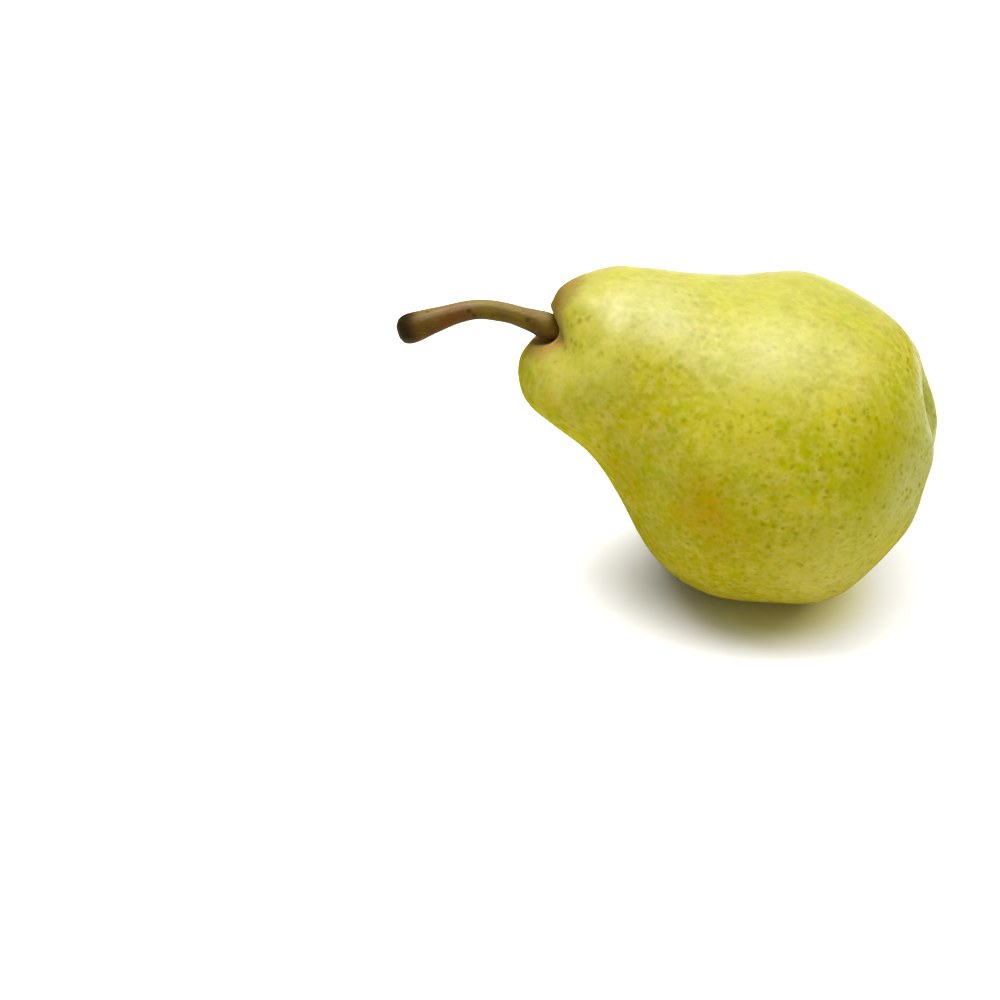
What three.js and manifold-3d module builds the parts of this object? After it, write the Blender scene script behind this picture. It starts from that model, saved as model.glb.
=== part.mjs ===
// A ripe pear lying on its side: the fruit, its woody stem and the dried flower remnant in its eye.
import * as THREE from 'three';
import { mergeVertices } from 'three/addons/utils/BufferGeometryUtils.js';
import Module from 'manifold-3d';

// Driving dimensions in millimetres and degrees. The fruit rests on z = 0, over the origin, with its
// stem toward -X and its eye toward +X. Its core line is an arc, low at the belly, high at both ends.
const coreArc = 104;           // radius of the core line
const coreTilt = 29;           // slope of the core line where it leaves the neck
const coreHeight = 40.4;       // height of the lowest point of the core line
const clearance = 0.3;         // gap between pieces that touch on the real fruit

// Stations of the flesh from the stem cavity to the eye basin: place along the core line, radius,
// and lift of the ring's centre above the core line.
const stations = [
  [5.0, 2.9, 8.8],
  [2.4, 3.1, 8.7],
  [0.9, 3.6, 8.6],
  [0.5, 5.2, 8.3],
  [0.9, 9.4, 7.6],
  [4.4, 14.3, 7.1],
  [10.0, 17.6, 7.8],
  [17.5, 19.8, 7.1],
  [25.5, 23.8, 3.6],
  [34.0, 29.1, -1.7],
  [43.0, 32.2, -4.7],
  [52.0, 33.7, -5.6],
  [61.0, 33.6, -6.0],
  [69.5, 29.8, -5.0],
  [76.5, 23.5, -3.1],
  [81.4, 17.4, -2.2],
  [84.2, 12.4, -2.9],
  [84.9, 9.0, -3.3],
  [84.2, 6.4, -3.6],
  [81.8, 4.3, -3.7],
];

// Soft lobes that make the fruit uneven: where each sits (along the core line, and degrees round it from
// the top, positive toward -Y), how far it reaches both ways, how far it pushes the flesh out, and how
// far it slides it toward the eye.
const lobes = [
  { name: 'low lip', along: 1, turn: 180, reach: 8, spread: 46, out: 0.2, slide: -2 },
  { name: 'high lip', along: 0, turn: -10, reach: 7, spread: 51, out: 0, slide: -2.8 },
  { name: 'near notch', along: 0.5, turn: 77, reach: 6, spread: 34, out: -0.5, slide: 2.8 },
  { name: 'far notch', along: 0.5, turn: -95, reach: 6, spread: 38, out: -0.4, slide: 1.3 },
  { name: 'neck back', along: 18, turn: -70, reach: 9, spread: 40, out: 0.2, slide: 0 },
  { name: 'underside', along: 40.7, turn: 180, reach: 12, spread: 36, out: 3.6, slide: 0 },
  { name: 'shoulder', along: 62, turn: -35, reach: 11, spread: 35, out: 0.5, slide: 0 },
  { name: 'low belly', along: 61, turn: 150, reach: 13, spread: 40, out: 0.6, slide: 0 },
  { name: 'under the eye', along: 74, turn: 180, reach: 9, spread: 45, out: -2, slide: 0 },
  { name: 'heel', along: 78.6, turn: 139, reach: 5, spread: 30, out: 1.5, slide: 0 },
  { name: 'heel dent', along: 70, turn: 139, reach: 5, spread: 30, out: -0.7, slide: 0 },
  { name: 'throat', along: 11, turn: 156, reach: 4, spread: 30, out: -0.3, slide: 0 },
  { name: 'throat dent', along: 22, turn: 158, reach: 5, spread: 30, out: -0.4, slide: 0 },
  { name: 'far rim', along: 84, turn: -122, reach: 8, spread: 45, out: 0, slide: 0.6 },
  { name: 'near rim', along: 84, turn: 62, reach: 7, spread: 50, out: 0, slide: -1.3 },
  { name: 'top rim', along: 84, turn: -28, reach: 7, spread: 45, out: 1.1, slide: 0.2 },
  { name: 'low rim', along: 84, turn: 153, reach: 7, spread: 50, out: -0.7, slide: -2 },
];
const lobeFreeRadius = 2.8;    // the stem hole and the calyx pit stay round inside this radius
const lobeFullRadius = 4.5;    // lobes act in full outside this one

const stemRadius = 2.4;        // where the stem stands in the flesh
const stemRootDepth = 8;       // along the core line

// The stem's free length, as points in the upright plane through the core line, then its thickness.
const stemRoute = [
  [-49.6, 62.7],
  [-54.4, 64.4],
  [-59.2, 65.2],
  [-64.0, 64.6],
  [-68.9, 62.8],
  [-73.0, 61.1],
  [-76.4, 60.0],
];
// Share of the stem's length, and radius there: a thin shank and a swollen, blunt tip.
const stemThickness = [
  [0.0, stemRadius],
  [0.15, stemRadius],
  [0.21, 2.75],
  [0.27, 2.4],
  [0.34, 2.1],
  [0.45, 2.0],
  [0.58, 2.0],
  [0.7, 2.2],
  [0.8, 2.6],
  [0.89, 3.05],
  [0.945, 3.1],
  [0.98, 2.6],
  [1.0, 1.5],
];

// The calyx: a cup whose foot stands in a pit in the eye basin, with dried sepals leaning out of it
// and a ring of withered stamens inside.
const basinFloor = 81.2;       // along the core line
const basinLift = -3.7;
const pit = { radius: 2.3, depth: 1.8 };
const bladeTaper = 0.5;        // share of its width that a sepal or stamen loses toward its tip
const cup = { foot: 2.0, waist: 2.2, mouth: 2.8, rimHeight: 1.1, floorHeight: 0.8 };
const sepal = {
  count: 5,
  root: 1.7,                   // distance of its root from the eye's axis
  rootHeight: 0.6,             // above the basin floor
  length: 2.8,
  width: 2.2,
  thickness: 0.6,
  lean: 22,                    // slope away from the basin floor
  curl: 0.5,                   // extra rise of the tip
};
const stamen = {
  count: 9,
  root: 0.9,
  rootHeight: 0.5,
  length: 1.9,
  width: 0.4,
  thickness: 0.4,
  lean: 80,
  curl: 0,
};

const skin = { color: 0xc5c04b, roughness: 0.45 };
const bark = { color: 0x6e5a2c, roughness: 0.7 };
const dried = { color: 0x3b2c1a, roughness: 0.9 };

const wasm = await Module();
wasm.setup();

const radians = THREE.MathUtils.degToRad;

// Place in space of a point given by its place along the core line, its radius and turn round the
// ring's centre, and that centre's lift.
function bend(along, radius, turn, lift) {
  const slope = along / coreArc - radians(coreTilt);
  const height = lift + radius * Math.cos(turn) - coreArc;
  const x = -Math.sin(slope) * height;
  const z = coreHeight + coreArc + Math.cos(slope) * height;
  return new THREE.Vector3(x, -radius * Math.sin(turn), z);
}

function angleBetween(a, b) {
  return Math.atan2(Math.sin(a - b), Math.cos(a - b));
}

// Sum of all lobes at one place: how far the flesh moves out and slides along.
function lobeShift(along, radius, turn) {
  const strength = THREE.MathUtils.smoothstep(radius, lobeFreeRadius, lobeFullRadius);
  const shift = { out: 0, slide: 0 };
  for (const lobe of lobes) {
    const u = (along - lobe.along) / lobe.reach;
    const v = angleBetween(turn, radians(lobe.turn)) / radians(lobe.spread);
    const weight = strength * Math.exp(-u * u - v * v);
    shift.out += lobe.out * weight;
    shift.slide += lobe.slide * weight;
  }
  return shift;
}

// Spin a profile of points (x along, y radius, z lift) round its axis, then place every vertex by a
// function of its profile point and its turn.
function spin(profile, segments, place) {
  const outline = profile.map((point) => new THREE.Vector2(point.y, point.x));
  const geometry = new THREE.LatheGeometry(outline, segments);
  const position = geometry.attributes.position;
  for (let i = 0; i < position.count; i += 1) {
    const point = profile[i % profile.length];
    const step = Math.floor(i / profile.length) % segments;
    const turn = point.y === 0 ? 0 : step * 2 * Math.PI / segments;
    const placed = place(point, turn);
    position.setXYZ(i, placed.x, placed.y, placed.z);
  }
  return geometry;
}

// Closed solid of a geometry, without its seams and zero-size triangles.
function toSolid(geometry) {
  geometry.deleteAttribute('normal');
  geometry.deleteAttribute('uv');
  const merged = mergeVertices(geometry);
  const index = merged.index.array;
  const triVerts = [];
  for (let i = 0; i < index.length; i += 3) {
    const corners = [index[i], index[i + 1], index[i + 2]];
    if (new Set(corners).size === 3) triVerts.push(...corners);
  }
  return new wasm.Manifold(new wasm.Mesh({
    numProp: 3,
    vertProperties: new Float32Array(merged.attributes.position.array),
    triVerts: new Uint32Array(triVerts),
  }));
}

function toMesh(name, solid, finish) {
  const mesh = solid.getMesh();
  const geometry = new THREE.BufferGeometry();
  geometry.setAttribute('position', new THREE.BufferAttribute(mesh.vertProperties, 3));
  geometry.setIndex(new THREE.BufferAttribute(mesh.triVerts, 1));
  geometry.computeVertexNormals();
  const result = new THREE.Mesh(
    geometry,
    new THREE.MeshStandardMaterial({ ...finish, metalness: 0 }),
  );
  result.name = name;
  return result;
}

// Flesh and skin in one solid: stem hole, cavity, neck, belly, eye basin and calyx pit, trimmed level
// where the fruit rests.
function fruit() {
  const rings = 84;
  const segments = 60;
  const rows = stations.map((row) => new THREE.Vector3(...row));
  const curve = new THREE.CatmullRomCurve3(rows, false, 'catmullrom');
  const stemLift = stations[0][2];
  const holeRadius = stemRadius + clearance;
  const holeEnd = stemRootDepth + clearance;
  const pitEnd = basinFloor - pit.depth;
  const profile = [
    new THREE.Vector3(holeEnd, 0, stemLift),
    new THREE.Vector3(holeEnd, holeRadius, stemLift),
    ...curve.getPoints(rings),
    new THREE.Vector3(basinFloor, pit.radius, basinLift),
    new THREE.Vector3(pitEnd, pit.radius, basinLift),
    new THREE.Vector3(pitEnd, 0, basinLift),
  ];
  const whole = toSolid(spin(profile, segments, (point, turn) => {
    const shift = lobeShift(point.x, point.y, turn);
    return bend(point.x + shift.slide, point.y + shift.out, turn, point.z);
  }));
  const size = 2 * coreArc;
  const below = new THREE.BoxGeometry(size, size, size).translate(0, 0, -size / 2);
  return toMesh('fruit', whole.subtract(toSolid(below)), skin);
}

// Woody stem: a round rod of changing thickness, bent along its route.
function stem() {
  const rings = 44;
  const segments = 20;
  const stemLift = stations[0][2];
  const root = [stemRootDepth, stemRootDepth / 2, 0].map((along) => bend(along, 0, 0, stemLift));
  const free = stemRoute.map(([x, z]) => new THREE.Vector3(x, 0, z));
  const route = new THREE.CatmullRomCurve3([...root, ...free], false, 'catmullrom');
  const length = route.getLength();
  const side = new THREE.CatmullRomCurve3(
    stemThickness.map(([share, radius]) => new THREE.Vector3(share * length, radius, 0)),
    false,
    'catmullrom',
  );
  const profile = [
    new THREE.Vector3(0, 0, 0),
    ...side.getPoints(rings),
    new THREE.Vector3(length, 0, 0),
  ];
  const across = new THREE.Vector3(0, 1, 0);
  const solid = toSolid(spin(profile, segments, (point, turn) => {
    const share = THREE.MathUtils.clamp(point.x / length, 0, 1);
    const forward = route.getTangentAt(share);
    const up = new THREE.Vector3().crossVectors(across, forward);
    return route.getPointAt(share)
      .addScaledVector(up, point.y * Math.cos(turn))
      .addScaledVector(across, point.y * Math.sin(turn));
  }));
  return toMesh('stem', solid, bark);
}

// One small dried scale or thread of the calyx: an egg shape that starts at a root beside the eye's
// axis, leans outward and curls up toward its tip.
function calyxBlade(blade, turn) {
  const geometry = new THREE.SphereGeometry(0.5, 8, 8);
  const position = geometry.attributes.position;
  const lean = radians(blade.lean);
  for (let i = 0; i < position.count; i += 1) {
    const share = position.getY(i) + 0.5;
    const across = position.getX(i) * blade.width * (1 - bladeTaper * share);
    const up = -position.getZ(i) * blade.thickness;
    const reach = blade.length * share;
    const radial = blade.root + reach * Math.cos(lean) - up * Math.sin(lean);
    const rise = reach * Math.sin(lean) + up * Math.cos(lean) + blade.curl * share ** 2;
    const radius = Math.hypot(radial, across);
    const angle = turn + Math.atan2(across, radial);
    const placed = bend(basinFloor + blade.rootHeight + rise, radius, angle, basinLift);
    position.setXYZ(i, placed.x, placed.y, placed.z);
  }
  return toSolid(geometry);
}

// Dried flower remnant in the eye: cup, sepals and stamens fused in one solid.
function calyx() {
  const segments = 30;
  const foot = basinFloor - pit.depth + clearance;
  const rest = basinFloor + clearance;
  const profile = [
    [foot, 0],
    [foot, cup.foot],
    [rest, cup.foot],
    [rest, cup.waist],
    [basinFloor + cup.rimHeight, cup.mouth],
    [basinFloor + cup.floorHeight, 0],
  ].map(([along, radius]) => new THREE.Vector3(along, radius, basinLift));
  let solid = toSolid(spin(profile, segments, (point, turn) => bend(point.x, point.y, turn, point.z)));
  for (let i = 0; i < sepal.count; i += 1) {
    solid = solid.add(calyxBlade(sepal, i * 2 * Math.PI / sepal.count));
  }
  for (let i = 0; i < stamen.count; i += 1) {
    solid = solid.add(calyxBlade(stamen, i * 2 * Math.PI / stamen.count));
  }
  return toMesh('calyx', solid, dried);
}

const pear = new THREE.Group();
pear.add(fruit(), stem(), calyx());
export default pear;
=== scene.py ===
import math

import bmesh
import bpy
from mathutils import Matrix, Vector, noise


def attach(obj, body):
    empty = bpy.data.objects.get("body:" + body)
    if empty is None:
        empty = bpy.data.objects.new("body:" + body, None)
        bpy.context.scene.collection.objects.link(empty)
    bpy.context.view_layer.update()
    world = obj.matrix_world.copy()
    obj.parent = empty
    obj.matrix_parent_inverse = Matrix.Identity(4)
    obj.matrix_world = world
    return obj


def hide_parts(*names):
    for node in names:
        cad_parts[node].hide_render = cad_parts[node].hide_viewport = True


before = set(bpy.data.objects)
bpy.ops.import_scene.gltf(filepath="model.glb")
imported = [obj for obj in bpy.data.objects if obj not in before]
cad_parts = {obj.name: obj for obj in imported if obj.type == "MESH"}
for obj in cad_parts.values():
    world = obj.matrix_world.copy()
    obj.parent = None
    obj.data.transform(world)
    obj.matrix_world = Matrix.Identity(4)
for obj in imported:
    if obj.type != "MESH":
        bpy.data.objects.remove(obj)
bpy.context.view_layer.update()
mm = 0.001  # lengths below are in millimetres, as on a drawing
mergeGap = 1e-5  # points of a spun shape that are closer than this become one


def smoothStep(low, high, value):
    share = min(max((value - low) / (high - low), 0.0), 1.0)
    return share * share * (3 - 2 * share)


def smoothFloor(value, soft):
    # keeps a height above zero, with a rounded turn into the flat
    if value > soft:
        return value
    if value < -soft:
        return 0.0
    return (value + soft) ** 2 / (4 * soft)


def splinePoint(rows, share):
    # even Catmull-Rom curve through rows of numbers, its ends continued straight
    spans = len(rows) - 1
    span = min(int(share * spans), spans - 1)
    t = share * spans - span
    before = rows[span - 1] if span else [2 * a - b for a, b in zip(rows[0], rows[1])]
    after = rows[span + 2] if span + 2 <= spans else [2 * a - b for a, b in zip(rows[-1], rows[-2])]
    point = []
    for p0, p1, p2, p3 in zip(before, rows[span], rows[span + 1], after):
        v1, v2 = (p2 - p0) / 2, (p3 - p1) / 2
        cubic = (2 * p1 - 2 * p2 + v1 + v2) * t ** 3 + (3 * p2 - 3 * p1 - 2 * v1 - v2) * t ** 2
        point.append(cubic + v1 * t + p1)
    return point


def splineRows(rows, count):
    return [splinePoint(rows, i / count) for i in range(count + 1)]


def spinShape(profile, steps, tags=()):
    # profile rows: along, radius, then one value for each tag, kept on every vertex it spins to
    mesh = bmesh.new()
    layers = [mesh.verts.layers.float.new(tag) for tag in tags]
    line = []
    for row in profile:
        vert = mesh.verts.new((row[0], 0, row[1]))
        for layer, value in zip(layers, row[2:]):
            vert[layer] = value
        line.append(vert)
    edges = [mesh.edges.new(pair) for pair in zip(line, line[1:])]
    bmesh.ops.spin(
        mesh, geom=line + edges, axis=(1, 0, 0), cent=(0, 0, 0), angle=2 * math.pi,
        steps=steps, use_merge=True, use_duplicate=False)
    bmesh.ops.remove_doubles(mesh, verts=mesh.verts, dist=mergeGap)
    bmesh.ops.recalc_face_normals(mesh, faces=mesh.faces)
    return mesh, layers


def spunPlace(vert):
    # where a spun vertex lies: along the axis, out from it, and round it from the top
    return vert.co.x, math.hypot(vert.co.y, vert.co.z), math.atan2(-vert.co.y, vert.co.z)


def turnGap(turn, centre, spread):
    # how far a turn is from a centre in degrees, the short way round, as a share of the spread
    gap = turn - math.radians(centre)
    return math.atan2(math.sin(gap), math.cos(gap)) / math.radians(spread)


def ripple(point, size):
    # soft random rise and fall, from -1 to 1, whose bumps are about size across
    return noise.noise(point / (size * mm))


def keepRise(mesh):
    # how far each place faces up, from -1 to 1, for its material to read
    rise = mesh.verts.layers.float.new("rise")
    mesh.normal_update()
    for vert in mesh.verts:
        vert[rise] = vert.normal.z


def finishPiece(mesh, name, material, node):
    for face in mesh.faces:
        face.smooth = True
    data = bpy.data.meshes.new(name)
    mesh.to_mesh(data)
    mesh.free()
    data.materials.append(material)
    piece = bpy.data.objects.new(name, data)
    bpy.context.scene.collection.objects.link(piece)
    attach(piece, "root")
    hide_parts(node)
    print("made", name, len(data.polygons), "faces")


class Channel:
    # one output of a node, so that shader maths reads as plain maths
    def __init__(self, finish, socket):
        self.finish = finish
        self.socket = socket

    def maths(self, operation, first, second):
        return self.finish.node("ShaderNodeMath", {"operation": operation}, {0: first, 1: second})

    def __add__(self, other):
        return self.maths("ADD", self, other)

    def __radd__(self, other):
        return self.maths("ADD", other, self)

    def __sub__(self, other):
        return self.maths("SUBTRACT", self, other)

    def __rsub__(self, other):
        return self.maths("SUBTRACT", other, self)

    def __mul__(self, other):
        return self.maths("MULTIPLY", self, other)

    def __rmul__(self, other):
        return self.maths("MULTIPLY", other, self)


class Finish:
    # one material, built of nodes that read the piece's own coordinates
    def __init__(self, name):
        self.material = bpy.data.materials.new(name)
        self.material.use_nodes = True
        self.tree = self.material.node_tree
        self.tree.nodes.clear()
        self.place = self.node("ShaderNodeTexCoord", output="Object")

    def node(self, kind, settings=None, inputs=None, output=0):
        # settings come first, then a value or a link for each socket named in inputs
        node = self.tree.nodes.new(kind)
        for key, value in (settings or {}).items():
            setattr(node, key, value)
        for key, value in (inputs or {}).items():
            if isinstance(value, Channel):
                self.tree.links.new(value.socket, node.inputs[key])
            else:
                node.inputs[key].default_value = value
        return Channel(self, node.outputs[output]) if len(node.outputs) else None

    def attribute(self, name):
        return self.node("ShaderNodeAttribute", {"attribute_name": name}, output="Fac")

    def cloud(self, size, detail, roughness=0.5, stretch=None):
        # noise from 0 to 1 whose patches are about size millimetres across
        where = self.place
        if stretch:
            where = self.node("ShaderNodeMapping", None, {"Vector": where, "Scale": stretch})
        return self.node(
            "ShaderNodeTexNoise", None,
            {"Vector": where, "Scale": 1 / (size * mm), "Detail": detail, "Roughness": roughness})

    def axis(self, name):
        return self.node("ShaderNodeSeparateXYZ", None, {"Vector": self.place}, name)

    def near(self, spot, inner, outer):
        # 1 within the inner distance of a spot, 0 beyond the outer one
        gap = self.node(
            "ShaderNodeVectorMath", {"operation": "DISTANCE"},
            {0: self.place, 1: [part * mm for part in spot]}, "Value")
        return self.ramp(gap, inner * mm, outer * mm, 1, 0)

    def warped(self, size, shift):
        # object coordinates pushed about, so that dots lose their even roundness
        push = self.node(
            "ShaderNodeTexNoise", None, {"Vector": self.place, "Scale": 1 / (size * mm)}, "Color")
        return self.node(
            "ShaderNodeVectorMath", {"operation": "MULTIPLY_ADD"},
            {0: push, 1: [shift * mm] * 3, 2: self.place})

    def dots(self, spacing, core, edge, wander=0.9, uneven=0.2):
        # soft dots of many sizes, full to their core and gone at their edge
        cell = {"Vector": self.warped(spacing, spacing * wander), "Scale": 1 / (spacing * mm)}
        distance = self.node("ShaderNodeTexVoronoi", None, cell)
        chance = self.node("ShaderNodeTexVoronoi", None, cell, "Color")
        return self.ramp(distance + chance * uneven, core, edge, 1, 0)

    def ramp(self, value, low, high, start=0.0, end=1.0):
        return self.node(
            "ShaderNodeMapRange", {"interpolation_type": "SMOOTHSTEP"},
            {"Value": value, "From Min": low, "From Max": high, "To Min": start, "To Max": end})

    def mix(self, factor, first, second):
        # sockets 6 and 7 take the colours at factor 0 and 1, and output 2 gives the mixed one
        colors = [c if isinstance(c, Channel) else linear(c) for c in (first, second)]
        return self.node(
            "ShaderNodeMix", {"data_type": "RGBA"}, {0: factor, 6: colors[0], 7: colors[1]}, 2)

    def bump(self, height, depth):
        return self.node(
            "ShaderNodeBump", None, {"Height": height, "Distance": depth * mm, "Strength": 1.0})

    def close(self, inputs):
        shader = self.node("ShaderNodeBsdfPrincipled", None, inputs)
        self.node("ShaderNodeOutputMaterial", None, {"Surface": shader})
        return self.material


def linear(color):
    # a display colour, 0 to 255, as the linear one that a shader takes
    shares = [part / 255 for part in color]
    return [s / 12.92 if s <= 0.04 else ((s + 0.055) / 1.055) ** 2.4 for s in shares] + [1.0]


pearShape = {
    "coreArc": 104,     # radius of the core line
    "coreTilt": 29,     # its slope where it leaves the neck
    "coreHeight": 40.4,  # its lowest point
    "stations": [  # along the core line, radius, lift of the ring's centre
        [5.0, 2.9, 8.8],
        [2.4, 3.1, 8.7],
        [0.9, 3.6, 8.6],
        [0.5, 5.2, 8.3],
        [0.9, 9.4, 7.6],
        [4.4, 14.3, 7.1],
        [10.0, 17.6, 7.8],
        [17.5, 19.8, 7.1],
        [25.5, 23.8, 3.6],
        [34.0, 29.1, -1.7],
        [43.0, 32.2, -4.7],
        [52.0, 33.7, -5.6],
        [61.0, 33.6, -6.0],
        [69.5, 29.8, -5.0],
        [76.5, 23.5, -3.1],
        [81.4, 17.4, -2.2],
        [84.2, 12.4, -2.9],
        [84.9, 9.0, -3.3],
        [84.2, 6.4, -3.6],
        [81.8, 4.3, -3.7],
    ],
    "lobes": [  # along, turn from the top, reach, spread, push outward, slide toward the eye
        (1, 180, 8, 46, 0.2, -2),         # low lip
        (0, -10, 7, 51, 0, -2.8),         # high lip
        (0.5, 77, 6, 34, -0.5, 2.8),      # near notch
        (0.5, -95, 6, 38, -0.4, 1.3),     # far notch
        (18, -70, 9, 40, 0.2, 0),         # neck back
        (40.7, 180, 12, 36, 3.6, 0),      # underside
        (62, -35, 11, 35, 0.5, 0),        # shoulder
        (61, 150, 13, 40, 0.6, 0),        # low belly
        (74, 180, 9, 45, -2, 0),          # under the eye
        (78.6, 139, 5, 30, 1.5, 0),       # heel
        (70, 139, 5, 30, -0.7, 0),        # heel dent
        (11, 156, 4, 30, -0.3, 0),        # throat
        (22, 158, 5, 30, -0.4, 0),        # throat dent
        (84, -122, 8, 45, 0, 0.6),        # far rim
        (84, 62, 7, 50, 0, -1.3),         # near rim
        (84, -28, 7, 45, 1.1, 0.2),       # top rim
        (84, 153, 7, 50, -0.7, -2),       # low rim
    ],
    "lobeFree": 2.8,    # lobes leave the skin alone inside this radius
    "lobeFull": 4.5,    # and act in full outside this one
    "holeRadius": 2.7,  # the hole that the stem stands in
    "holeEnd": 8.3,
    "basinFloor": 81.2,  # the eye, and the pit that the calyx stands in
    "basinLift": -3.7,
    "pitRadius": 2.3,
    "pitEnd": 79.4,
    "rings": 300,
    "steps": 224,
    "swell": 0.22,      # soft dents and swellings
    "swellSize": 13,
    "dimple": 0.05,     # finer unevenness of the skin
    "dimpleSize": 3.5,
    "inset": 0.12,      # keeps the swellings inside the plain form's outer size
    "plainHole": (2, 5),    # places in the stem hole whose surroundings stay plain
    "plainGap": 1.5,        # how far past the hole's radius they do
    "plainFade": 5,         # over how far the swellings grow to their full depth
    "footSoft": 0.35,       # how softly the flesh turns into its flat foot
    "russetEdge": 0.178,     # ring at which the russet ends, below and in front of the stem
    "russetTop": 0.09,       # how much farther it reaches above the stem
    "russetTurn": -15,
    "russetSpread": 42,
}


def bendPoint(along, radius, turn, lift):
    slope = along / pearShape["coreArc"] - math.radians(pearShape["coreTilt"])
    height = lift + radius * math.cos(turn) - pearShape["coreArc"]
    x = -math.sin(slope) * height
    z = pearShape["coreHeight"] + pearShape["coreArc"] + math.cos(slope) * height
    return Vector((x, -radius * math.sin(turn), z)) * mm


def lobeShift(along, radius, turn):
    strength = smoothStep(pearShape["lobeFree"], pearShape["lobeFull"], radius)
    out = slide = 0.0
    for lobeAlong, lobeTurn, reach, spread, push, carry in pearShape["lobes"]:
        gap = turnGap(turn, lobeTurn, spread)
        weight = strength * math.exp(-((along - lobeAlong) / reach) ** 2 - gap ** 2)
        out += push * weight
        slide += carry * weight
    return out, slide


def russetEdge(turn):
    gap = turnGap(turn, pearShape["russetTurn"], pearShape["russetSpread"])
    return pearShape["russetEdge"] + pearShape["russetTop"] * math.exp(-gap ** 2)


def swellSkin(mesh, stemLift):
    # soft swellings and fine dimples, except near the stem hole and the calyx pit
    shape = pearShape
    plainSpots = [bendPoint(along, 0, 0, stemLift) for along in shape["plainHole"]]
    plainSpots.append(bendPoint(shape["basinFloor"], 0, 0, shape["basinLift"]))
    plain = shape["holeRadius"] + shape["plainGap"]
    mesh.normal_update()
    for vert in mesh.verts:
        gap = min((vert.co - spot).length / mm for spot in plainSpots)
        strength = smoothStep(plain, plain + shape["plainFade"], gap)
        swell = shape["swell"] * ripple(vert.co, shape["swellSize"])
        dimple = shape["dimple"] * ripple(vert.co, shape["dimpleSize"])
        vert.co += vert.normal * (swell + dimple - shape["inset"]) * strength * mm
        vert.co.z = smoothFloor(vert.co.z, shape["footSoft"] * mm)


def makeFruit(material):
    shape = pearShape
    stemLift = shape["stations"][0][2]
    profile = [[shape["holeEnd"], 0, stemLift], [shape["holeEnd"], shape["holeRadius"], stemLift]]
    profile += splineRows(shape["stations"], shape["rings"])
    profile += [
        [shape["basinFloor"], shape["pitRadius"], shape["basinLift"]],
        [shape["pitEnd"], shape["pitRadius"], shape["basinLift"]],
        [shape["pitEnd"], 0, shape["basinLift"]],
    ]
    # each ring's place along the skin, from 0 in the stem hole to 1 in the eye
    tagged = [row + [i / (len(profile) - 1)] for i, row in enumerate(profile)]
    mesh, (lift, ring) = spinShape(tagged, shape["steps"], ("lift", "ring"))
    rim = mesh.verts.layers.float.new("rim")  # how far the skin lies beyond the russet
    for vert in mesh.verts:
        along, radius, turn = spunPlace(vert)
        out, slide = lobeShift(along, radius, turn)
        vert.co = bendPoint(along + slide, radius + out, turn, vert[lift])
        vert[rim] = vert[ring] - russetEdge(turn)
    swellSkin(mesh, stemLift)
    keepRise(mesh)
    finishPiece(mesh, "fruit_skin", material, "fruit")


skinLook = {
    "green": (130, 133, 1),
    "yellow": (154, 140, 8),
    "shade": (116, 112, 0),      # soft darker patches
    "upwardLightTint": (143, 144, 26),     # painted highlight: a greener, whiter tint on the side that faces up
    "pale": (162, 156, 72),      # small pale flecks; more of them higher up is painted light
    "tan": (158, 142, 66),
    "dot": (113, 108, 0),
    "low": (136, 119, 0),        # warmer, darker tint low down: partly the skin's own warmer tone, partly painted shade on the underside
    "rimSheen": (184, 184, 140),    # painted sheen: a pale band on the rim of the eye
    "eyeHollowShade": (128, 132, 66),    # painted shade inside the eye, partly the skin's greener tone there
    # painted light: the hollow's upper wall is lighter
    "eyeHollowLitTop": (172, 176, 110),
    "russet": (94, 70, 22),
    "sand": (125, 109, 50),      # thinner russet, toward its edge
    "lip": (148, 119, 55),       # redder russet under the stem, made lighter there as painted light against the stem's shade
    "speck": (106, 82, 10),
    "cavityLight": (178, 142, 80),      # painted light: paler skin in and round the stem's hole, where the stem's shade falls
    "patchSize": 20,
    "mottleSize": 6,
    "grainSize": 1.1,
    "shadeSize": 5.5,
    "paleSize": 1.6,
    "tanSize": 3.4,
    "dotSpacing": 1.7,
    "smallDotSpacing": 1.1,
    "freckleSpacing": 1.7,
    "thinSize": 4,               # stretches in which the large dots are fainter
    "rimWanderSize": 3.5,             # unevenness of the eye's rim
    "tornSize": 2.0,             # raggedness of the russet's edge
    "edgeTear": 0.07,            # how far both edges wander, as a share of the skin's length
    "markCore": 0.2,
    "markEdge": 0.95,
    "relief": 0.06,
    "tintAndLightSpots": [  # soft patches of their own tint: place, inner and outer reach, amount, colour. Some are painted light: a whiter patch on the neck's top is painted highlight, a pale patch low at the front is painted bounce light, and a darker patch on the belly's top is painted shade that dims the highlight
        ((35, -12, 38), 4, 23, 0.65, (146, 150, 100)),
        # painted bounce light from the floor, low at the front
        ((14, -31, 22), 2, 22, 0.45, (160, 155, 82)),
        ((20, -25, 46), 2, 17, 0.65, (124, 120, 0)),
        ((-12, -26, 53), 1, 13, 0.4, (168, 154, 44)),
        ((-9, -32, 30), 1, 12, 0.4, (130, 112, 0)),
        ((0, -26, 55), 0, 13, 0.2, (140, 133, 0)),
        ((-38, -13, 62), 2, 14, 0.4, (158, 157, 78)),
        # painted highlight on the neck's top
        ((-25, -7, 70), 0, 13, 0.4, (152, 152, 108)),
        ((-46, -11, 55), 0, 8, 0.3, (158, 150, 84)),
        # painted shade that dims the highlight on the belly's top
        ((-5, -21, 60), 0, 10, 0.6, (143, 137, 0)),
        ((-31, -19, 38), 0, 10, 0.5, (138, 116, 0)),
        ((4, -2, 68), 3, 24, 0.3, (134, 133, 8)),
        ((25, -23, 36), 0, 13, 0.35, (158, 158, 108)),
        ((-16, -30, 38), 0, 12, 0.75, (144, 115, 0)),
    ],
    "marks": [  # brown specks on the neck, near the stem
        (-42, -8.5, 63.2),
        (-43.1, -7.4, 60.8),
        (-41.2, -9.8, 63.2),
        (-40.3, -7.7, 67.3),
        (-38.7, -8.3, 68.1),
    ],
}


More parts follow.
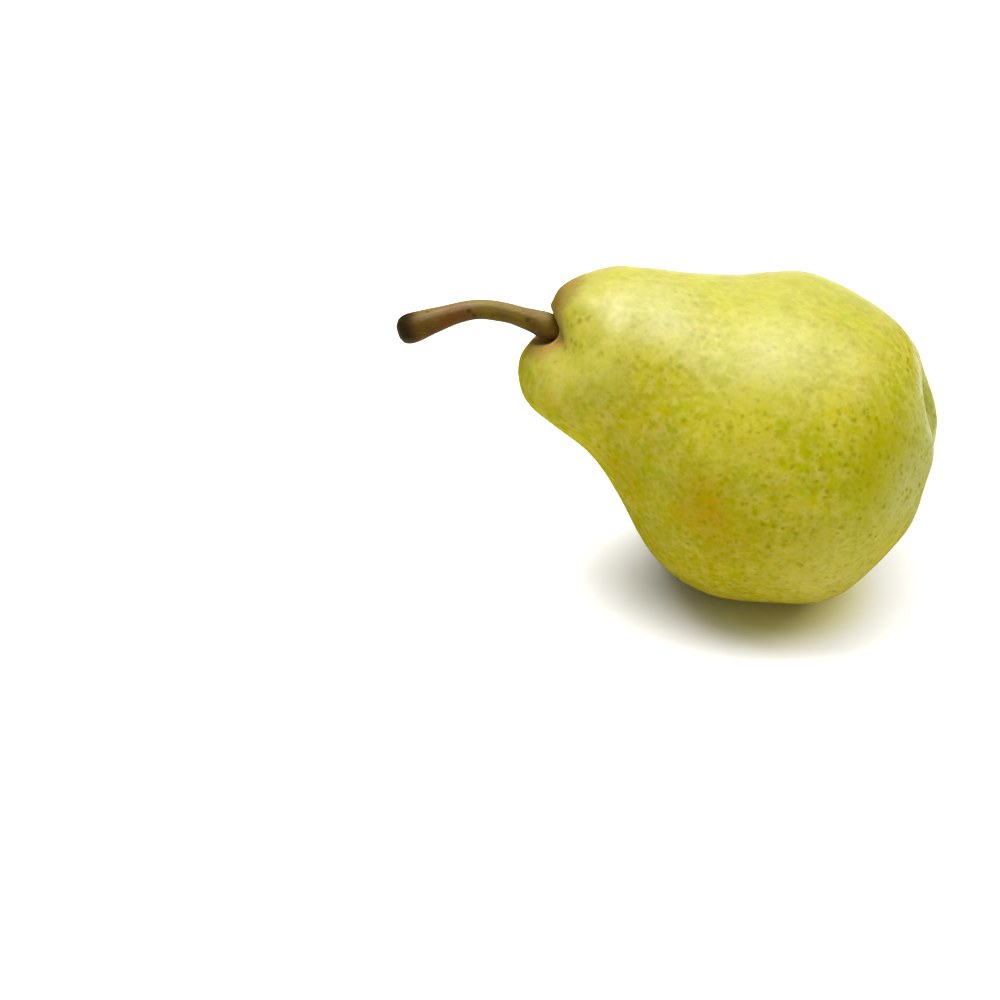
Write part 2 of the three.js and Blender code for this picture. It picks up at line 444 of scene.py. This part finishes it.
def skinGround(skin, height, rise, patch, mottle):
    # green and yellow in patches, with a greener, whiter tint above that is painted highlight and a
    # warmer, darker tint below that is partly painted shade (heights here are in metres)
    look = skinLook
    color = skin.mix(patch * 0.5 + mottle * 0.5, look["green"], look["yellow"])
    # painted highlight: the side that faces up turns greener and whiter
    color = skin.mix(skin.ramp(rise, 0.55, 0.95) * 0.6, color, look["upwardLightTint"])
    # partly painted shade: darker and warmer low down
    color = skin.mix(skin.ramp(height, 0.012, 0.042, 0.7, 0), color, look["low"])
    shaded = skin.ramp(skin.cloud(look["shadeSize"], 2), 0.35, 0.65) * 0.4
    color = skin.mix(shaded, color, look["shade"])
    # painted light: the pale flecks grow stronger higher up
    flecksLitAbove = skin.ramp(height, 0.01, 0.055, 0.35, 0.6)
    flecks = skin.ramp(skin.cloud(look["paleSize"], 1), 0.3, 0.85) * flecksLitAbove
    color = skin.mix(flecks, color, look["pale"])
    tanned = skin.ramp(skin.cloud(look["tanSize"], 1, 0.4), 0.4, 0.85) * 0.45
    color = skin.mix(tanned, color, look["tan"])
    broken = mottle * 0.5 + 0.75
    for place, inner, outer, amount, tint in look["tintAndLightSpots"]:
        color = skin.mix(skin.near(place, inner, outer) * broken * amount, color, tint)
    return color


def skinEye(skin, color, ring, height, patch, mottle):
    # the rim of the eye with a painted sheen, and inside it a painted shade that is lighter higher
    # up, partly the skin's greener tone; both uneven all round
    look = skinLook
    paintedLight = ring + (skin.cloud(look["rimWanderSize"], 3) - 0.5) * look["edgeTear"]
    # painted sheen along the rim's crest
    rimSheen = skin.ramp(paintedLight, 0.81, 0.875) * skin.ramp(paintedLight, 0.89, 0.92, 1, 0)
    color = skin.mix(rimSheen * (patch * 0.3 + 0.4), color, look["rimSheen"])
    # painted shade in the eye's hollow, lighter higher up
    eyeHollowShade = skin.mix(skin.ramp(height, 0.039, 0.047), look["eyeHollowShade"], look["eyeHollowLitTop"])
    return skin.mix(skin.ramp(paintedLight, 0.89, 0.93) * (mottle * 0.3 + 0.55), color, eyeHollowShade)


def skinDots(skin, ring, rise, patch):
    # fewer on the neck: large ones far apart, faint small ones between them; fainter on the side
    # that faces up, as painted highlight
    look = skinLook
    spread = skin.ramp(ring + patch * 0.1, 0.28, 0.6, 0.4, 1)
    thinned = skin.ramp(skin.cloud(look["thinSize"], 1), 0.35, 0.65, 0.45, 1)
    large = skin.dots(look["dotSpacing"], 0.04, 0.62) * thinned
    small = skin.dots(look["smallDotSpacing"], 0.03, 0.6)
    # painted highlight: dots fainter on the side that faces up
    return (large * 0.95 + small * 0.45) * spread * skin.ramp(rise, 0.55, 0.95, 1, 0.55)


def skinRusset(skin, color, rim, near, torn, height):
    # torn at its edge, darker inward, with stray freckles and a few marks beyond it
    look = skinLook
    russet = skin.mix(skin.ramp(rim, -0.07, -0.015), look["russet"], look["sand"])
    # painted light: the russet under the stem is lighter
    russet = skin.mix(skin.ramp(height, 0.059, 0.063, 0.9, 0), russet, look["lip"])
    color = skin.mix(near * (0.75 + torn * 0.4), color, russet)
    color = skin.mix(skin.ramp(rim, 0.0, 0.05, 0.3, 0), color, look["sand"])
    freckles = skin.dots(look["freckleSpacing"], 0.05, 0.36) * skin.ramp(rim, 0.0, 0.075, 1, 0)
    color = skin.mix(freckles * 0.6, color, look["speck"])
    for mark in look["marks"]:
        speck = skin.near(mark, look["markCore"], look["markEdge"])
        color = skin.mix(speck * 0.5, color, look["speck"])
    return color


def makeSkin():
    look = skinLook
    skin = Finish("pear_skin")
    ring = skin.attribute("ring")
    rise = skin.attribute("rise")
    height = skin.axis("Z")
    patch = skin.ramp(skin.cloud(look["patchSize"], 2), 0.36, 0.64)
    mottle = skin.ramp(skin.cloud(look["mottleSize"], 3, 0.6), 0.36, 0.66)
    grain = skin.cloud(look["grainSize"], 3, 0.6)
    color = skinGround(skin, height, rise, patch, mottle)
    color = skinEye(skin, color, ring, height, patch, mottle)
    dots = skinDots(skin, ring, rise, patch)
    color = skin.mix(dots, color, look["dot"])
    torn = skin.cloud(look["tornSize"], 4, 0.65)
    rim = skin.attribute("rim") + (torn - 0.5) * look["edgeTear"]
    near = skin.ramp(rim, -0.02, 0.012, 1, 0)  # 1 on the russet round the stem
    color = skinRusset(skin, color, rim, near, torn, height)
    # painted light: the skin in and round the stem's hole is paler, against the stem's shade
    color = skin.mix(skin.ramp(ring, 0.05, 0.12, 1, 0), color, look["cavityLight"])
    return skin.close({
        "Base Color": color,
        "Roughness": skin.ramp(grain + near * 2 + dots * 0.3, 0.3, 1.6, 0.42, 0.7),
        "Normal": skin.bump(grain * 0.35 - dots * 0.25 + torn * near * 1.2, look["relief"]),
        "Specular IOR Level": 0.0,
        # a waxy sheen, thin underneath and on the russet
        "Coat Weight": skin.ramp(rise, 0.52, 0.92) * (1.0 - near * 0.9),
        "Coat Roughness": 0.46,
        "Coat IOR": 1.5,
        "Subsurface Weight": 0.15,
        "Subsurface Radius": (1.0, 0.75, 0.2),
        "Subsurface Scale": 0.002,
    })


stemShape = {
    "rootDepth": 8,
    "route": [  # along the pear, height
        [-49.6, 62.7],
        [-54.4, 64.4],
        [-59.2, 65.2],
        [-64.0, 64.6],
        [-68.9, 62.8],
        [-73.0, 61.1],
        [-76.4, 60.0],
    ],
    "thickness": [  # share of the length, radius
        [0.0, 2.4],
        [0.15, 2.4],
        [0.21, 2.75],
        [0.27, 2.4],
        [0.34, 2.1],
        [0.45, 2.0],
        [0.58, 2.0],
        [0.7, 2.2],
        [0.8, 2.6],
        [0.89, 3.05],
        [0.945, 3.1],
        [0.98, 2.6],
        [1.0, 1.5],
    ],
    "routeRows": 400,
    "rings": 160,
    "steps": 72,
    "knobs": 0.16,
    "knobSize": 5,
    "wrinkle": 0.07,
    "wrinkleSize": 9,       # length of a wrinkle
    "wrinkleTurns": 2.2,    # how closely they stand round the stem
    "smoothShare": 0.24,    # share of the length that stays smooth, in and near its hole
    "roughShare": 0.34,     # share of the length past which knobs and wrinkles are full
    "scarDepth": 0.5,       # the dished scar at the tip
    "scarRings": 6,
}


def stemRoute():
    lift = pearShape["stations"][0][2]
    depth = stemShape["rootDepth"]
    root = [bendPoint(along, 0, 0, lift) / mm for along in (depth, depth / 2, 0)]
    rows = [[p.x, p.z] for p in root] + stemShape["route"]
    points = [Vector((x, 0, z)) for x, z in splineRows(rows, stemShape["routeRows"])]
    lengths = [0.0]
    for first, second in zip(points, points[1:]):
        lengths.append(lengths[-1] + (second - first).length)
    return points, lengths


def routePoint(points, lengths, reach):
    # the point that lies a given length along the route, and the way the route runs there
    reach = min(max(reach, 0), lengths[-1])
    spot = 1
    while spot < len(lengths) - 1 and lengths[spot] < reach:
        spot += 1
    share = (reach - lengths[spot - 1]) / (lengths[spot] - lengths[spot - 1])
    forward = (points[spot] - points[spot - 1]).normalized()
    return points[spot - 1].lerp(points[spot], share), forward


def makeStem(material):
    shape = stemShape
    points, lengths = stemRoute()
    length = lengths[-1]
    thickness = splineRows(shape["thickness"], shape["rings"])
    profile = [[0, 0]] + [[share * length, radius] for share, radius in thickness]
    endRadius = profile[-1][1]
    scarRings = shape["scarRings"]
    for i in range(1, scarRings + 1):
        depth = shape["scarDepth"] * math.sin(math.pi / 2 * i / scarRings)
        profile.append([length - depth, endRadius * (1 - i / scarRings)])
    tagged = [[min(row[0], length), row[1], row[0] / length] for row in profile]
    mesh, _ = spinShape(tagged, shape["steps"], ("share",))
    across = Vector((0, 1, 0))
    turns = shape["wrinkleTurns"]
    for vert in mesh.verts:
        along, radius, turn = spunPlace(vert)
        centre, forward = routePoint(points, lengths, along)
        up = across.cross(forward)
        free = smoothStep(shape["smoothShare"], shape["roughShare"], along / length)
        free *= min(radius, 1)
        streak = noise.noise(Vector((
            math.cos(turn) * turns, math.sin(turn) * turns, along / shape["wrinkleSize"])))
        knob = noise.noise(Vector((math.cos(turn), math.sin(turn), along / shape["knobSize"])))
        radius += free * (shape["wrinkle"] * streak + shape["knobs"] * knob)
        place = centre + up * radius * math.cos(turn) + across * radius * math.sin(turn)
        vert.co = place * mm
    keepRise(mesh)
    finishPiece(mesh, "stem_bark", material, "stem")


barkLook = {
    "olive": (82, 65, 6),
    "brown": (66, 46, 5),
    "red": (84, 48, 10),         # a redder stretch before the tip
    "dark": (18, 12, 2),         # the tip, the root, the scars and the specks
    "pale": (120, 100, 34),
    "paintedLight": (132, 112, 56),      # painted light: the paler upper side
    "under": (122, 88, 24),      # the warm side of the tip that faces down
    "collarShade": (58, 30, 12),      # the root of the stem, darker underneath: partly its own red-brown, partly painted shade
    "scars": [(-62.2, -1.6, 65.9), (-61.2, -2.0, 65.0), (-50.4, -2.0, 64.0)],
    "scarCore": 0.2,
    "scarEdge": 0.75,
    "patchSize": 6,
    "grainSize": 0.9,
    "grainStretch": (0.4, 1.6, 1.6),    # grain runs along the stem
    "speckSpacing": 2.2,
    "relief": 0.12,
}


def makeBark():
    look = barkLook
    bark = Finish("stem_bark")
    share = bark.attribute("share")
    rise = bark.attribute("rise")
    patch = bark.ramp(bark.cloud(look["patchSize"], 3), 0.35, 0.65)
    grain = bark.cloud(look["grainSize"], 4, 0.6, look["grainStretch"])
    color = bark.mix(patch, look["olive"], look["brown"])
    color = bark.mix(bark.ramp(grain, 0.45, 0.8) * 0.25, color, look["pale"])
    middle = bark.ramp(share, 0.5, 0.66) * bark.ramp(share, 0.72, 0.88, 1, 0)
    color = bark.mix(middle * (0.2 + patch * 0.4), color, look["red"])
    # painted light: paler on the upper side, short of the tip
    paintedLight = bark.ramp(rise + grain * 0.3, 0.75, 1.2) * bark.ramp(share, 0.82, 0.91, 0.45, 0)
    color = bark.mix(paintedLight, color, look["paintedLight"])
    tip = bark.ramp(share + grain * 0.08 + rise * 0.01, 0.91, 0.99)
    color = bark.mix(tip * 0.85, color, look["dark"])
    under = bark.ramp(rise, -0.1, -0.8) * bark.ramp(share, 0.82, 0.9)
    color = bark.mix(under * 0.4, color, look["under"])
    # partly painted shade: the stem's root is darker underneath
    collarShade = bark.ramp(rise, 0.1, -0.7) * bark.ramp(share, 0.24, 0.3, 1, 0)
    color = bark.mix(collarShade * 0.8, color, look["collarShade"])
    color = bark.mix(bark.ramp(share, 0.12, 0.18, 0.5, 0), color, look["dark"])
    for scar in look["scars"]:
        pit = bark.near(scar, look["scarCore"], look["scarEdge"])
        color = bark.mix(pit * 0.6, color, look["dark"])
    specks = bark.dots(look["speckSpacing"], 0.1, 0.24) * patch
    color = bark.mix(specks * 0.7, color, look["dark"])
    return bark.close({
        "Base Color": color,
        "Roughness": bark.ramp(grain, 0.3, 0.7, 0.45, 0.65),
        "Normal": bark.bump(grain * 1.2 - specks * 0.4, look["relief"]),
        "Specular IOR Level": 0.05,
        "Coat Weight": bark.ramp(rise, 0.2, 0.9, 0, 0.35) * bark.ramp(share, 0.82, 0.92, 1, 0),
        "Coat Roughness": 0.45,
    })


calyxShape = {
    "foot": 2.0,        # radii of the cup
    "waist": 2.2,
    "mouth": 2.8,
    "rimWidth": 0.4,
    "floorInset": 1.2,  # how much narrower than its mouth the cup's floor is
    "rimHeight": 1.1,
    "floorHeight": 0.8,
    "floorDip": 0.2,    # how far the cup's floor lies below that height
    "clearance": 0.3,
    "steps": 48,
    "sepals": 5,
    "sepalRoot": 1.7,
    "sepalRise": 0.75,
    "sepalLength": 2.5,
    "sepalWidth": 2.3,
    "sepalTip": 0.05,   # half the width that is left at the tip
    "sepalLean": 15,
    "sepalSag": 0.25,   # share of the lean that is lost by the tip
    "sepalTrough": 0.28,    # how far its edges stand up
    "sepalArch": 0.25,      # how far its middle bows down
    "sepalCrumple": 0.16,
    "sepalThickness": 0.22,
    "sepalGrid": (10, 16),  # cells across and along
    "stamens": 14,
    "stamenRing": 1.0,
    "stamenLength": 1.5,
    "stamenRadius": 0.13,
    "stamenTaper": 0.7,     # share of its radius that is left at the end
    "stamenSides": 7,
    "stamenCuts": 6,
    "stamenRoot": 0.1,      # how far below floorHeight a thread starts
    "stamenSpread": 0.35,   # how far it leans outward
    "stamenLean": 0.5,      # how much that lean differs from thread to thread
    "stamenSway": 0.8,
    "stamenSag": 0.15,
    "headSwell": 1.1,       # how much thicker the head is than the thread
    "headStart": 0.78,
    "headFull": 0.9,
}


def calyxPoint(radial, across, height, turn):
    # a place in the eye, from the basin floor up
    radius = math.hypot(radial, across)
    angle = turn + math.atan2(across, radial)
    return bendPoint(pearShape["basinFloor"] + height, radius, angle, pearShape["basinLift"])


def addSepal(mesh, turn, seed):
    shape = calyxShape
    blade = bmesh.new()
    cellsAcross, cellsAlong = shape["sepalGrid"]
    bmesh.ops.create_grid(blade, x_segments=cellsAcross, y_segments=cellsAlong, size=0.5)
    lean = math.radians(shape["sepalLean"])
    for vert in blade.verts:
        share = vert.co.y + 0.5
        side = vert.co.x * 2
        width = shape["sepalWidth"] / 2 * (1 - share ** 1.6) ** 0.8 + shape["sepalTip"]
        crumple = shape["sepalCrumple"] * noise.noise(Vector((side, share * 3, seed)))
        trough = shape["sepalTrough"] * side * side * (1 - share)
        fold = trough - shape["sepalArch"] * math.sin(share * math.pi) + crumple
        reach = shape["sepalLength"] * share
        radial = shape["sepalRoot"] + reach * math.cos(lean) - fold * math.sin(lean)
        lift = reach * math.sin(lean) * (1 - shape["sepalSag"] * share)
        height = shape["sepalRise"] + lift + fold * math.cos(lean)
        vert.co = Vector((radial, side * width, height))
    bmesh.ops.solidify(blade, geom=blade.faces, thickness=shape["sepalThickness"])
    for vert in blade.verts:
        vert.co = calyxPoint(vert.co.x, vert.co.y, vert.co.z, turn)
    joinMesh(mesh, blade)


def addStamen(mesh, turn, seed):
    shape = calyxShape
    thread = bmesh.new()
    bmesh.ops.create_cone(
        thread, cap_ends=True, segments=shape["stamenSides"], radius1=shape["stamenRadius"],
        radius2=shape["stamenRadius"] * shape["stamenTaper"], depth=1)
    lengthwise = []
    for edge in thread.edges:
        first, second = edge.verts
        if abs(first.co.z - second.co.z) > 0.5:
            lengthwise.append(edge)
    bmesh.ops.subdivide_edges(
        thread, edges=lengthwise, cuts=shape["stamenCuts"], use_grid_fill=True)
    lean = shape["stamenLean"] * noise.noise(Vector((seed, 0.3, 0.1)))
    sway = shape["stamenSway"] * noise.noise(Vector((0.2, seed, 0.7)))
    root = shape["floorHeight"] - shape["stamenRoot"]
    for vert in thread.verts:
        share = vert.co.z + 0.5
        head = 1 + shape["headSwell"] * smoothStep(shape["headStart"], shape["headFull"], share)
        outward = (shape["stamenSpread"] + lean) * share * share
        radial = shape["stamenRing"] + vert.co.x * head + outward
        across = vert.co.y * head + sway * share * share
        height = root + shape["stamenLength"] * share * (1 - shape["stamenSag"] * share)
        vert.co = calyxPoint(radial, across, height, turn)
    joinMesh(mesh, thread)


def joinMesh(mesh, addition):
    # adds a small mesh to a larger one, with its faces outward
    bmesh.ops.recalc_face_normals(addition, faces=addition.faces)
    data = bpy.data.meshes.new("part")
    addition.to_mesh(data)
    addition.free()
    mesh.from_mesh(data)
    bpy.data.meshes.remove(data)


def makeCalyx(material):
    shape = calyxShape
    floor = pearShape["basinFloor"]
    foot = pearShape["pitEnd"] + shape["clearance"]
    seat = floor + shape["clearance"]
    rim = floor + shape["rimHeight"]
    inside = floor + shape["floorHeight"] - shape["floorDip"]
    profile = [
        [foot, 0],
        [foot, shape["foot"]],
        [seat, shape["foot"]],
        [seat, shape["waist"]],
        [rim, shape["mouth"]],
        [rim, shape["mouth"] - shape["rimWidth"]],
        [inside, shape["mouth"] - shape["floorInset"]],
        [inside, 0],
    ]
    mesh, _ = spinShape(profile, shape["steps"])
    for vert in mesh.verts:
        along, radius, turn = spunPlace(vert)
        vert.co = bendPoint(along, radius, turn, pearShape["basinLift"])
    for i in range(shape["sepals"]):
        addSepal(mesh, i * 2 * math.pi / shape["sepals"], i + 0.5)
    for i in range(shape["stamens"]):
        addStamen(mesh, i * 2 * math.pi / shape["stamens"], i + 0.5)
    finishPiece(mesh, "dried_calyx", material, "calyx")


driedLook = {
    "dark": (34, 24, 14),
    "brown": (84, 62, 38),
    "grey": (122, 104, 78),
    "patchSize": 1.6,
    "grainSize": 0.35,
    "relief": 0.08,
}


def makeDried():
    look = driedLook
    dried = Finish("dried_calyx")
    patch = dried.ramp(dried.cloud(look["patchSize"], 3), 0.35, 0.65)
    grain = dried.cloud(look["grainSize"], 4, 0.65)
    color = dried.mix(patch, look["dark"], look["brown"])
    color = dried.mix(dried.ramp(grain, 0.5, 0.75) * 0.6, color, look["grey"])
    return dried.close({
        "Base Color": color,
        "Roughness": 0.85,
        "Normal": dried.bump(grain, look["relief"]),
        "Specular IOR Level": 0.25,
    })


studio = {
    "floorSize": 6.0,            # metres
    "floorColor": (246, 246, 246),
    "glow": (246, 239, 160),     # light off the skin, on the floor close under it
    "glowPlace": (2, -5, 0),
    "glowCore": 11,
    "glowEdge": 25,
    "farGlow": (255, 255, 255),  # the floor turns into a white backdrop far from the pear
    "noGlow": (0, 0, 0),
    "farStart": 400,
    "farFull": 1300,
    "floorRoughness": 0.6,
    "lights": [  # place in metres, size, power
        ("overhead", (-0.2, 0.04, 0.76), 0.45, 6.9),
        ("ceiling", (0, 0.05, 0.95), 1.1, 11.3),
        ("front", (-0.05, -0.45, 0.68), 0.5, 0.8),
        ("low", (0.1, -0.8, 0.15), 0.4, 2.1),
        ("right", (0.6, 0.05, 0.6), 0.5, 4.0),
        ("back", (0.1, 1.0, 0.6), 0.9, 3.1),
    ],
    "lightAim": (0, 0, 0.03),
    "skyStrength": 0.02,
}

viewPoint = {
    "aim": (-56.0, 0, 18.6),    # millimetres
    "elevation": 35,
    "distance": 583.3,
    "lens": 100,
    "sensor": 36,
    "clipStart": 0.01,          # metres
}


def makeFloor():
    mesh = bmesh.new()
    bmesh.ops.create_grid(mesh, x_segments=2, y_segments=2, size=studio["floorSize"] / 2)
    data = bpy.data.meshes.new("floor")
    mesh.to_mesh(data)
    mesh.free()
    paper = Finish("pale_floor")
    glow = paper.near(studio["glowPlace"], studio["glowCore"], studio["glowEdge"])
    close = paper.near((0, 0, 0), studio["farStart"], studio["farFull"])
    data.materials.append(paper.close({
        "Base Color": paper.mix(glow, studio["floorColor"], studio["glow"]),
        "Roughness": studio["floorRoughness"],
        "Emission Color": paper.mix(close, studio["farGlow"], studio["noGlow"]),
        "Emission Strength": 1.0,
    }))
    floor = bpy.data.objects.new("floor", data)
    bpy.context.scene.collection.objects.link(floor)


def makeLight(name, place, size, power):
    light = bpy.data.lights.new(name, "AREA")
    light.energy = power
    light.size = size
    lamp = bpy.data.objects.new(name, light)
    lamp.location = place
    aim = Vector(studio["lightAim"]) - Vector(place)
    lamp.rotation_euler = aim.to_track_quat("-Z", "Y").to_euler()
    bpy.context.scene.collection.objects.link(lamp)


def makeSky():
    world = bpy.data.worlds.new("studio")
    world.use_nodes = True
    background = world.node_tree.nodes["Background"]
    background.inputs["Color"].default_value = (1, 1, 1, 1)
    background.inputs["Strength"].default_value = studio["skyStrength"]
    bpy.context.scene.world = world


def makeCamera():
    view = viewPoint
    camera = bpy.data.cameras.new("camera")
    camera.lens = view["lens"]
    camera.sensor_width = view["sensor"]
    camera.clip_start = view["clipStart"]
    tilt = math.radians(view["elevation"])
    eye = bpy.data.objects.new("camera", camera)
    back = Vector((0, -math.cos(tilt), math.sin(tilt)))
    eye.location = (Vector(view["aim"]) + back * view["distance"]) * mm
    eye.rotation_euler = (math.pi / 2 - tilt, 0, 0)
    bpy.context.scene.collection.objects.link(eye)
    bpy.context.scene.camera = eye


makeFruit(makeSkin())
makeStem(makeBark())
makeCalyx(makeDried())
makeFloor()
for light in studio["lights"]:
    makeLight(*light)
makeSky()
makeCamera()
bpy.context.scene.view_settings.view_transform = "Standard"
print("stage set")
